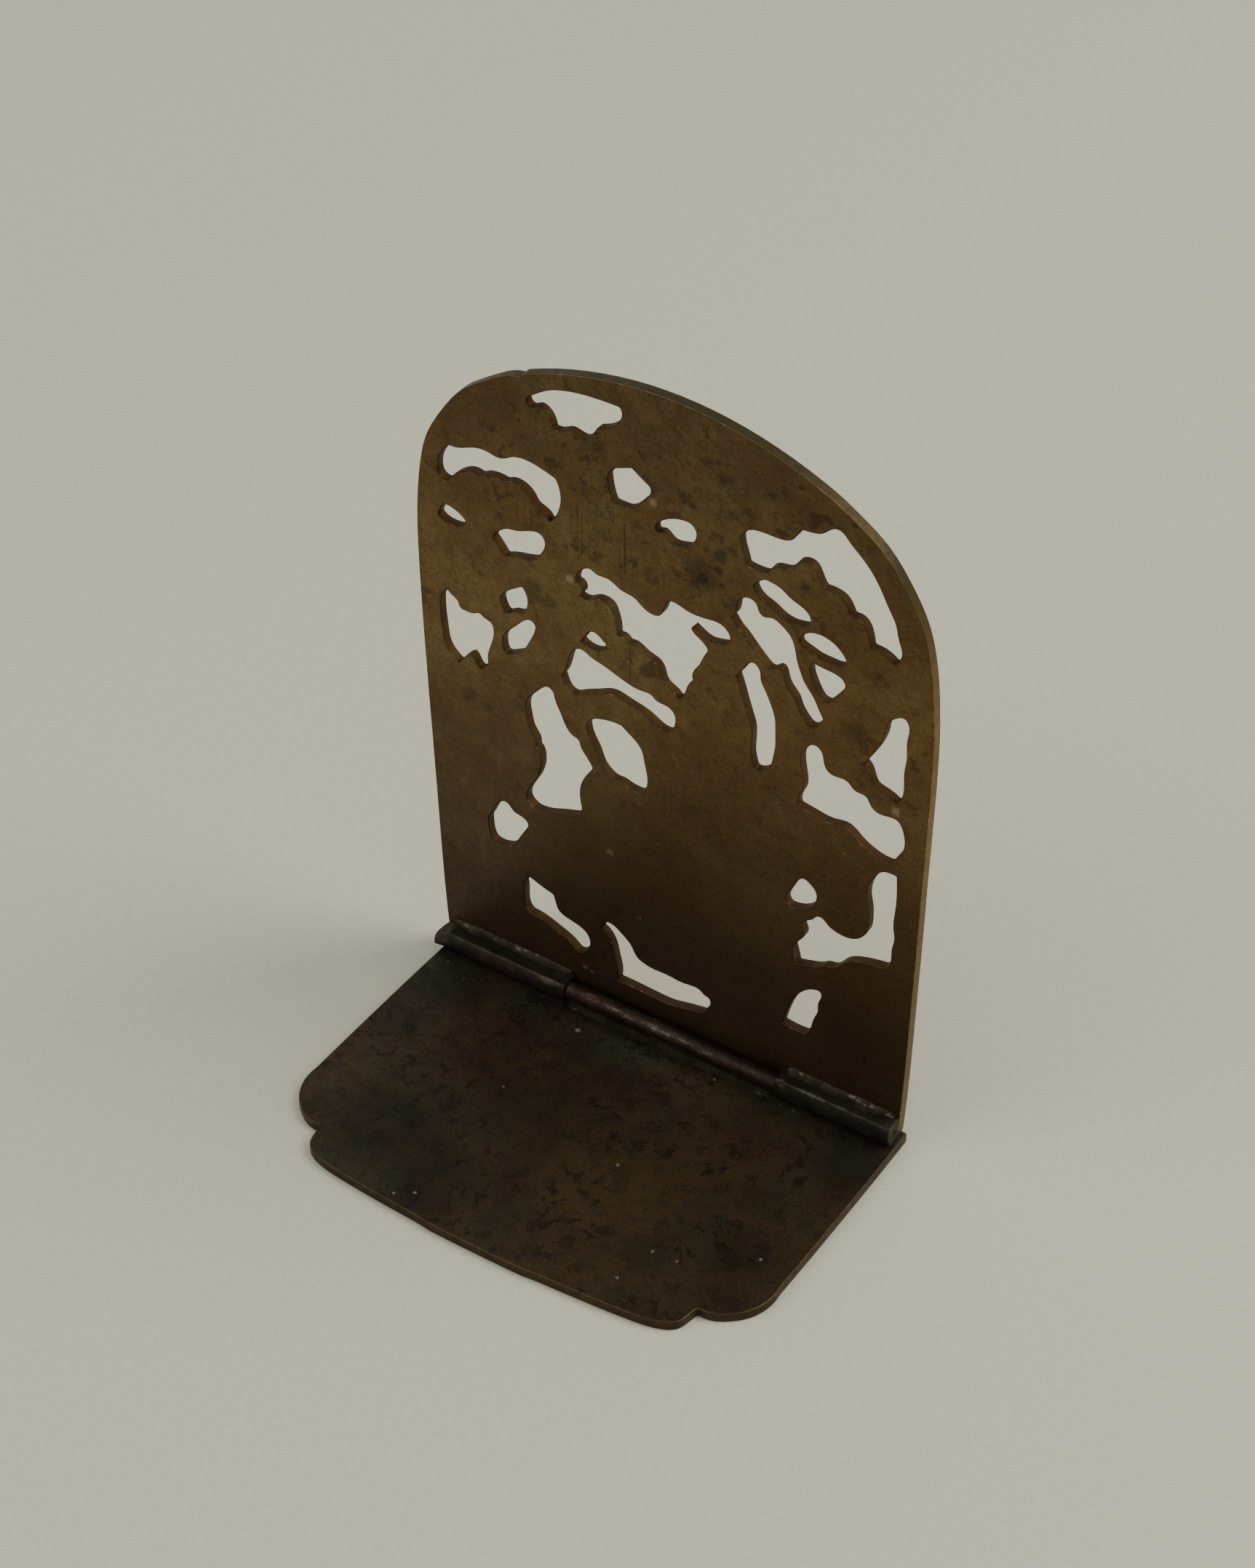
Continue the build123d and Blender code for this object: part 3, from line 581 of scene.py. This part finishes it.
def base_material():
    s = Shade("base_patina")
    cloud = s.noise(20, detail=5, roughness=0.6, shift=2.2)
    tint = s.noise(13, detail=5, roughness=0.65, shift=9.4)
    grain = s.noise(2.6, detail=6, roughness=0.65, shift=4.1)
    fine = s.noise(0.5, detail=3, roughness=0.7, shift=3.3)
    pits = s.noise(0.9, detail=3, roughness=0.6, shift=5.9)
    blots = s.noise(3.2, detail=6, roughness=0.68, distortion=0.6, shift=12.3)
    crowd = s.noise(15, detail=3, shift=15.1)
    dark_brown, brown, green, purple = srgb(50, 40, 33), srgb(68, 56, 41), srgb(54, 54, 42), srgb(64, 44, 41)
    warm_brown, umber = srgb(76, 63, 44), srgb(40, 32, 26)
    blot, pit, stain = srgb(33, 26, 22), srgb(26, 22, 19), srgb(23, 25, 24)
    speck_dark, speck_light = srgb(30, 25, 21), srgb(96, 84, 66)
    grit, wall_brass, worn_brass = srgb(160, 154, 142), srgb(58, 46, 26), srgb(84, 68, 36)

    colour = s.mix(s.ramp(cloud, 0.36, 0.64), dark_brown, brown)
    colour = s.mix(s.math("MULTIPLY", s.ramp(tint, 0.50, 0.62), 0.75), colour, green)
    colour = s.mix(s.math("MULTIPLY", s.ramp(tint, 0.46, 0.36), 0.75), colour, purple)
    colour = s.mix(s.spots(BASE_WARMTH, 9), colour, warm_brown)
    colour = s.mix(s.ramp(grain, 0.42, 0.72, 0.0, 0.7), colour, umber)
    dark_blots = s.math("MULTIPLY", s.ramp(blots, 0.53, 0.59), s.ramp(crowd, 0.38, 0.6, 0.2, 0.8))
    colour = s.mix(dark_blots, colour, blot)
    colour = s.mix(s.math("MULTIPLY", s.ramp(pits, 0.64, 0.72), 0.7), colour, pit)
    colour = s.mix(s.ramp(fine, 0.48, 0.72, 0.0, 0.5), colour, speck_dark)
    colour = s.mix(s.ramp(fine, 0.46, 0.28, 0.0, 0.35), colour, speck_light)
    colour = s.mix(s.math("MULTIPLY", s.spots(BASE_STAINS, 5.0), 0.8), colour, stain)
    colour = s.depth_of_tone(colour, Y, BASE_TONES)
    colour = s.mix(s.spots(BASE_FLECKS, 0.6, size=0.4), colour, grit)
    colour = s.mix(s.math("MULTIPLY", s.mark("wall"), 0.5), colour, wall_brass)
    chips = s.noise(2.0, detail=4, roughness=0.7, shift=19.0)
    edge = s.math("MULTIPLY", s.mark("wear"), s.ramp(chips, 0.44, 0.62, 0.2, 0.7))
    colour = s.mix(edge, colour, worn_brass)
    height = s.math("SUBTRACT", s.math("MULTIPLY", grain, 0.5), s.ramp(pits, 0.62, 0.76))
    height = s.math("ADD", height, s.math("MULTIPLY", fine, 0.5))
    roughness = s.ramp(grain, 0.3, 0.75, 0.4, 0.55)
    return s.finish(colour, roughness, 0.75, height, 0.012)


def at_hinge(x, ahead, height):
    """A point near the hinge: ahead of the upright's front face and above the base's top, in mm."""
    return (x, FRONT - ahead, BASE_TOP + height)


LEFT_FLECKS = [
    (at_hinge(-23.7, 3.9, 3.8), 0.75, 1.0), (at_hinge(-22.6, 3.8, 3.9), 0.6, 1.0),
    (at_hinge(-24.6, 3.9, 3.9), 0.55, 0.9), (at_hinge(-21.2, 3.7, 4.0), 0.4, 0.9),
    (at_hinge(-31.5, 4.1, 3.2), 0.9, 0.35), (at_hinge(-45.5, 3.8, 2.4), 0.8, 0.3),
]
# Pale patches on the right knuckle: worn metal, and painted highlights along its ridge and round its left
# end.
RIGHT_FLECKS = [
    (at_hinge(24.7, 3.3, 4.3), 0.3, 0.9), (at_hinge(24.8, 3.9, 2.9), 0.25, 0.8),
    (at_hinge(25.0, 3.8, 1.2), 0.3, 0.9), (at_hinge(26.4, 3.9, 3.0), 0.3, 0.4),
    (at_hinge(25.2, 2.2, 5.0), 0.3, 0.9),
    (at_hinge(30.2, 3.35, 4.85), 0.6, 0.8), (at_hinge(32.0, 3.35, 4.85), 0.7, 0.9),
    (at_hinge(33.8, 3.35, 4.85), 0.6, 0.7), (at_hinge(25.6, 2.9, 4.85), 0.45, 0.9),
    (at_hinge(25.9, 3.6, 3.9), 0.4, 0.8), (at_hinge(38, 3.35, 4.85), 0.5, 0.4),
]
# Pale streaks on the centre knuckle: wear, and a painted highlight along its crest.
CENTRE_FLECKS = [
    (at_hinge(-14.6, 2.6, 4.0), 0.25, 0.8), (at_hinge(-9.6, 3.2, 3.7), 0.38, 0.9),
    (at_hinge(-6.5, 3.4, 3.4), 0.3, 0.7), (at_hinge(-1.8, 3.1, 3.8), 0.4, 0.8),
    (at_hinge(1.6, 3.3, 3.5), 0.35, 0.8), (at_hinge(5.5, 3.2, 3.6), 0.35, 0.6),
    (at_hinge(10.5, 3.3, 3.5), 0.25, 0.4),
]


def knuckle_material(name, dull, lighter, rubbed, flecks, stretch, shift):
    """Old hinge brass. rubbed is how strongly streaks along X shine; stretch lengthens the flecks."""
    s = Shade(name)
    cloud = s.noise(6, detail=5, roughness=0.6, shift=shift)
    grain = s.noise(1.2, detail=6, roughness=0.65, shift=shift + 2)
    fine = s.noise(0.4, detail=3, roughness=0.7, shift=shift + 3)
    streak = s.noise(0.32, detail=3, stretch=(18, 1, 1), shift=shift + 5)
    colour = s.mix(s.ramp(cloud, 0.36, 0.64), dull, lighter)
    grime, dust, bright = srgb(26, 22, 20), srgb(84, 76, 66), srgb(150, 138, 122)
    worn_brass, scuff_and_glint = srgb(100, 88, 68), srgb(112, 102, 90)
    colour = s.mix(s.ramp(grain, 0.5, 0.72, 0.0, 0.6), colour, grime)
    colour = s.mix(s.ramp(fine, 0.5, 0.75, 0.0, 0.4), colour, dust)
    lines = s.math("MULTIPLY", s.ramp(streak, 0.60, 0.70), s.ramp(cloud, 0.47, 0.6))
    colour = s.mix(s.math("MULTIPLY", lines, rubbed), colour, bright)
    colour = s.mix(s.math("MULTIPLY", s.mark("wear"), 0.12), colour, worn_brass)
    broken = s.ramp(fine, 0.3, 0.6, 1.0, 0.45)
    # Pale patches at the flecks: worn metal, with painted highlights on the right knuckle's ridge and the
    # centre knuckle's crest.
    patches = s.math("MULTIPLY", s.spots(flecks, 1.2, size=0.5, length=stretch), broken)
    colour = s.mix(patches, colour, scuff_and_glint)
    height = s.math("ADD", s.math("MULTIPLY", grain, 0.7), s.math("MULTIPLY", streak, 0.6))
    return s.finish(colour, s.ramp(grain, 0.3, 0.75, 0.5, 0.64), 0.8, height, 0.03)


# Pale flecks on the solder fillets: bare metal, and painted glints along the fillets' tops and toes.
BEAD_FLECKS = [
    (at_hinge(-43.5, 0.6, 4.9), 0.3, 0.9), (at_hinge(-42.2, 0.7, 4.9), 0.2, 0.8),
    (at_hinge(-37.0, 0.6, 4.9), 0.2, 0.7), (at_hinge(-31.9, 0.6, 5.0), 0.3, 0.9),
    (at_hinge(-30.6, 0.4, 5.1), 0.25, 0.9), (at_hinge(-28.0, 0.3, 5.2), 0.2, 0.6),
    (at_hinge(-21.4, 0.6, 5.0), 0.3, 0.7), (at_hinge(38.4, 0.4, 5.4), 0.35, 1.0),
    (at_hinge(39.8, 0.6, 5.2), 0.25, 0.8), (at_hinge(41.2, 0.7, 5.1), 0.25, 0.7),
    (at_hinge(42.6, 0.5, 5.2), 0.3, 0.9), (at_hinge(45.8, 0.5, 5.1), 0.3, 0.9),
    (at_hinge(46.6, 0.5, 5.1), 0.25, 0.9), (at_hinge(28.0, 0.4, 5.4), 0.2, 0.8),
    (at_hinge(25.4, 0.5, 5.4), 0.3, 0.9), (at_hinge(-19.3, 3.9, 0.3), 0.5, 0.75),
    (at_hinge(-17.6, 4.1, 0.3), 0.35, 0.6), (at_hinge(23.4, 4.0, 0.3), 0.5, 0.8),
    (at_hinge(21.6, 4.1, 0.3), 0.35, 0.5),
]


def solder_material(name, dull, lighter):
    s = Shade(name)
    cloud = s.noise(3.0, detail=5, roughness=0.6, shift=6)
    grain = s.noise(0.5, detail=4, roughness=0.6, shift=8)
    colour = s.mix(s.ramp(cloud, 0.4, 0.62), dull, lighter)
    grime, bare_and_glint = srgb(30, 25, 20), srgb(116, 111, 101)
    colour = s.mix(s.ramp(grain, 0.5, 0.75, 0.0, 0.6), colour, grime)
    # Bare metal and painted glints at the flecks.
    colour = s.mix(s.spots(BEAD_FLECKS, 1.2, size=0.35, length=2.2), colour, bare_and_glint)
    return s.finish(colour, s.ramp(grain, 0.3, 0.7, 0.5, 0.65), 0.8, grain, 0.04)


# ---------------------------------------------------------------- the pieces

def panel_draft(normals):
    """Saw cuts lean: an opening is smaller at the front along its left and lower sides."""
    toward = np.array([-0.55, -0.83])
    most_lean = 0.34
    return most_lean * np.clip(normals @ toward, 0, None)


def panel_shape(verts):
    """Slight waves in the sheet, fading towards the hinge, and saw marks on the walls."""
    sheet = verts[:, [X, Z]]
    straight_below, wavy_after = 14, 40
    fade = np.clip((verts[:, Z] - straight_below) / wavy_after, 0, 1)
    moved = verts.copy()
    moved[:, Y] += 0.10 * fade * hump(sheet, 5, 46) + 0.03 * fade * hump(sheet, 6, 17)
    middle, saw_band, saw_depth = (PANEL_LOW.y + PANEL_HIGH.y) / 2 / MM, 0.8, 0.025
    wall = np.clip(1 - np.abs(verts[:, Y] - middle) / saw_band, 0, 1)
    rasp = hump(sheet, 8, 1.7) + 0.6 * hump(verts, 9, 0.9)
    moved[:, [X, Z]] += (saw_depth * wall * rasp)[:, None]
    return moved


def base_shape(verts):
    """A gentle unevenness of the top, fading to flat underneath."""
    moved = verts.copy()
    up = (verts[:, Z] - BASE_LOW.z / MM) / BASE_TOP
    unevenness = 0.02
    moved[:, Z] += -unevenness * up * (1 + hump(verts[:, :Z], 12, 30))
    return moved


# Height of the left knuckle's outer end after and before it was hammered, by distance ahead of the upright.
CRUSHED = [(0, 4.0), (1.36, 3.5), (2.96, 2.7), (3.6, 1.9), (4.1, 0.8)]
UNCRUSHED = [(0, 4.6), (3.6, 4.4), (4.05, 2.6), (4.1, 2.4)]
CRUSH_FLOOR = 0.15      # nothing below this height above the base moves
HAMMERED = 3.4          # length of the hammered end
DOME_AHEAD, DOME_HEIGHT = 3.0, 1.6      # where that end stands out most
DRAWN_BACK, DRAWN_OVER = 1.25, 4.0      # how far its edges are drawn back, and over what length
SEAM_CLOSED = 0.14      # how far each end of a knuckle grows, so that the hinge's seams nearly close
PIN_SHORTER = 1.2       # how far inside the hammered knuckle the pin stops


def near_start(verts, reach):
    """1 at the piece's left end, falling to 0 over reach mm."""
    return np.clip(1 - (verts[:, X] - verts[:, X].min()) / reach, 0, 1)


def from_ends(verts):
    """Distance along X to the nearer end of the piece."""
    return np.minimum(verts[:, X] - verts[:, X].min(), verts[:, X].max() - verts[:, X])


def crushed_end(verts):
    """The left knuckle's outer end, hammered down towards the base, its edges drawn back."""
    moved = verts.copy()
    near = near_start(verts, HAMMERED)
    near = near * near * (3 - 2 * near)
    ahead = FRONT - verts[:, Y]
    low = BASE_TOP + CRUSH_FLOOR
    after = np.interp(ahead, *zip(*CRUSHED)) - CRUSH_FLOOR
    before = np.interp(ahead, *zip(*UNCRUSHED)) - CRUSH_FLOOR
    moved[:, Z] = low + (verts[:, Z] - low) * (1 + near * (after / before - 1))
    from_dome = np.hypot(ahead - DOME_AHEAD, moved[:, Z] - BASE_TOP - DOME_HEIGHT) / HAMMERED
    moved[:, X] += DRAWN_BACK * near_start(verts, DRAWN_OVER) * np.clip(from_dome, 0, 1.1) ** 1.6
    return moved


def knuckle_shape(seed, amount, rounded_ends=0.0, crushed=False):
    """A knuckle filed and hammered by hand: amount mm uneven, its end edges eased by rounded_ends mm."""
    def shape(verts):
        moved = verts.copy()
        field = hump(verts * np.array([1.0, 1.6, 1.6]), seed, 9) + 0.5 * hump(verts, seed + 1, 3)
        outwards = verts[:, 1:] - np.array([AXIS_Y, AXIS_Z])
        reach = np.linalg.norm(outwards, axis=1)
        skin = np.clip((reach - 1.2) / 0.5, 0, 1)
        off_upright = np.clip((FRONT - 0.25 - verts[:, Y]) / 0.6, 0, 1)
        off_base = np.clip((verts[:, Z] - BASE_TOP - 0.6) / 0.5, 0, 1)
        free = off_upright * off_base
        worn = rounded_ends * np.clip(1 - from_ends(verts) / 0.9, 0, 1) ** 2
        moved[:, 1:] -= ((amount * (1 + field) + worn) * skin * free)[:, None] * outwards / reach[:, None]
        side = np.sign(verts[:, X] - (verts[:, X].max() + verts[:, X].min()) / 2)
        moved[:, X] += SEAM_CLOSED * side * np.clip(1 - from_ends(verts) / 2, 0, 1)
        return crushed_end(moved) if crushed else moved
    return shape


def bead_shape(seed, corner_y, corner_z, size, swing, taper):
    """Solder run by hand: the fillet swells and thins, and runs out over taper mm at its ends."""
    def shape(verts):
        moved = verts.copy()
        along = verts[:, :1]
        girth = size + swing * hump(along, seed, 9) + 0.4 * swing * hump(along, seed + 1, 2.4)
        girth = np.clip(girth, 0.3, 1.3) * (0.3 + 0.7 * np.clip(from_ends(verts) / taper, 0, 1) ** 0.5)
        corner = np.array([corner_y, corner_z])
        moved[:, 1:] = corner + (verts[:, 1:] - corner) * girth[:, None]
        return moved
    return shape


def pin_shape(verts):
    """The pin's left end stops inside the hammered knuckle."""
    moved = verts.copy()
    moved[:, X] += PIN_SHORTER * near_start(verts, 8)
    return moved


upright_brass = panel_material()
base_brass = base_material()
left_brass = knuckle_material(
    "left_knuckle_patina", srgb(46, 44, 37), srgb(68, 56, 45),
    rubbed=0.2, flecks=LEFT_FLECKS, stretch=1.6, shift=1.0)
right_brass = knuckle_material(
    "right_knuckle_patina", srgb(42, 41, 33), srgb(57, 54, 43),
    rubbed=0.3, flecks=RIGHT_FLECKS, stretch=2.0, shift=9.0)
rolled_brass = knuckle_material(
    "centre_knuckle_patina", srgb(44, 34, 26), srgb(61, 46, 38),
    rubbed=0.75, flecks=CENTRE_FLECKS, stretch=5.0, shift=4.0)
upright_solder = solder_material("old_solder", srgb(44, 36, 27), srgb(62, 54, 42))
base_solder = solder_material("old_solder_on_base", srgb(38, 33, 23), srgb(50, 44, 32))

sawn_panel = rounded_prism("upright_panel", Y, shape=panel_shape, draft=panel_draft, seed=2, **PANEL_MESH)
worn_base = rounded_prism("base_plate", Z, shape=base_shape, seed=3, **BASE_MESH)
mesh_piece("upright_panel_sawn", sawn_panel, "upright", upright_brass, "upright_panel")
mesh_piece("base_plate_worn", worn_base, "base", base_brass, "base_plate")

left_shape = knuckle_shape(21, 0.06, rounded_ends=0.08, crushed=True)
right_shape = knuckle_shape(22, 0.06, rounded_ends=0.1)
centre_shape = knuckle_shape(31, 0.05, rounded_ends=0.06)
left = rounded_prism("left_knuckle", X, shape=left_shape, seed=4, **KNUCKLE_MESH)
right = rounded_prism("right_knuckle", X, shape=right_shape, seed=4, **KNUCKLE_MESH)
centre = rounded_prism("centre_knuckle", X, shape=centre_shape, seed=5, **BARREL_MESH)
pin = rounded_prism("hinge_pin", X, shape=pin_shape, seed=6, **PIN_MESH)
mesh_piece("left_knuckle_faceted", left, "upright", left_brass, "left_knuckle")
mesh_piece("right_knuckle_faceted", right, "upright", right_brass, "right_knuckle")
mesh_piece("centre_knuckle_rolled", centre, "base", rolled_brass, "centre_knuckle")
mesh_piece("hinge_pin_peened", pin, "base", right_brass, "hinge_pin")


def solder_bead(node, body, material, seed, size, swing, taper):
    low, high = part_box(node)
    shape = bead_shape(seed, high.y / MM, low.z / MM, size, swing, taper)
    bead = rounded_prism(node, X, shape=shape, **BEAD_MESH)
    mesh_piece(node + "_run", bead, body, material, node)


solder_bead("left_solder_bead", "upright", upright_solder, 41, size=0.85, swing=0.1, taper=5.0)
solder_bead("right_solder_bead", "upright", upright_solder, 42, size=0.95, swing=0.18, taper=1.2)
solder_bead("centre_solder_bead", "base", base_solder, 47, size=0.9, swing=0.08, taper=2.0)


# ---------------------------------------------------------------- floor, light and camera

FLOOR_SIZE = 6
SKY_COLOUR = (0.98, 0.99, 1.0, 1.0)
SKY_STRENGTH = 0.55
WARM_WHITE = (1.0, 0.96, 0.9)
SOFT_WHITE = (1.0, 0.98, 0.95)
# The camera's place in mm, turn and tilt in degrees, and focal length in picture rows.
CAMERA_PLACE = (305.6, FRONT - 467.9, BASE_TOP + 539.3)
CAMERA_AZIMUTH, CAMERA_ELEVATION, CAMERA_ROLL = 33.85, 40.69, 0.51
FOCAL_ROWS = 5980
SENSOR = 36.0


def floor_material():
    s = Shade("pale_floor")
    grain = s.noise(1.2, detail=4, roughness=0.6)
    return s.finish(s.mix(s.ramp(grain, 0.3, 0.7), srgb(200, 197, 174), srgb(207, 204, 182)),
                    0.85, 0.0, grain, 0.02)


bpy.ops.mesh.primitive_plane_add(size=FLOOR_SIZE)
floor = bpy.context.object
floor.name = "floor"
floor.data.materials.append(floor_material())

world = bpy.data.worlds.new("studio")
bpy.context.scene.world = world
world.use_nodes = True
sky = world.node_tree.nodes["Background"]
sky.inputs["Color"].default_value = SKY_COLOUR
sky.inputs["Strength"].default_value = SKY_STRENGTH


def area_light(name, place, aim, size, watts, colour):
    light = bpy.data.lights.new(name, "AREA")
    light.shape = "DISK"
    light.size = size
    light.energy = watts
    light.color = colour
    lamp = bpy.data.objects.new(name, light)
    lamp.location = place
    lamp.rotation_euler = (Vector(aim) - Vector(place)).to_track_quat("-Z", "Y").to_euler()
    bpy.context.scene.collection.objects.link(lamp)


area_light("key", (0.9, 0.5, 1.2), aim=(0, 0, 0.05), size=1.1, watts=16, colour=WARM_WHITE)
area_light("fill", (-0.8, -1.0, 0.9), aim=(0, 0, 0.06), size=1.4, watts=7, colour=SOFT_WHITE)


def camera_matrix():
    azimuth, elevation, roll = (math.radians(a) for a in (CAMERA_AZIMUTH, CAMERA_ELEVATION, CAMERA_ROLL))
    right = Vector((math.cos(azimuth), math.sin(azimuth), 0))
    ahead = Vector((-math.sin(azimuth) * math.cos(elevation), math.cos(azimuth) * math.cos(elevation),
                    -math.sin(elevation)))
    down = ahead.cross(right)
    across = right * math.cos(roll) + down * math.sin(roll)
    below = down * math.cos(roll) - right * math.sin(roll)
    turned = Matrix((across, -below, -ahead)).transposed().to_4x4()
    return Matrix.Translation(Vector(CAMERA_PLACE) * MM) @ turned


lens = bpy.data.cameras.new("camera")
lens.sensor_fit = "VERTICAL"
lens.sensor_height = SENSOR
lens.sensor_width = SENSOR
lens.lens = FOCAL_ROWS / IMAGE_HEIGHT * SENSOR
lens.clip_start, lens.clip_end = 0.01, 20
camera = bpy.data.objects.new("camera", lens)
camera.matrix_world = camera_matrix()
bpy.context.scene.collection.objects.link(camera)
bpy.context.scene.camera = camera
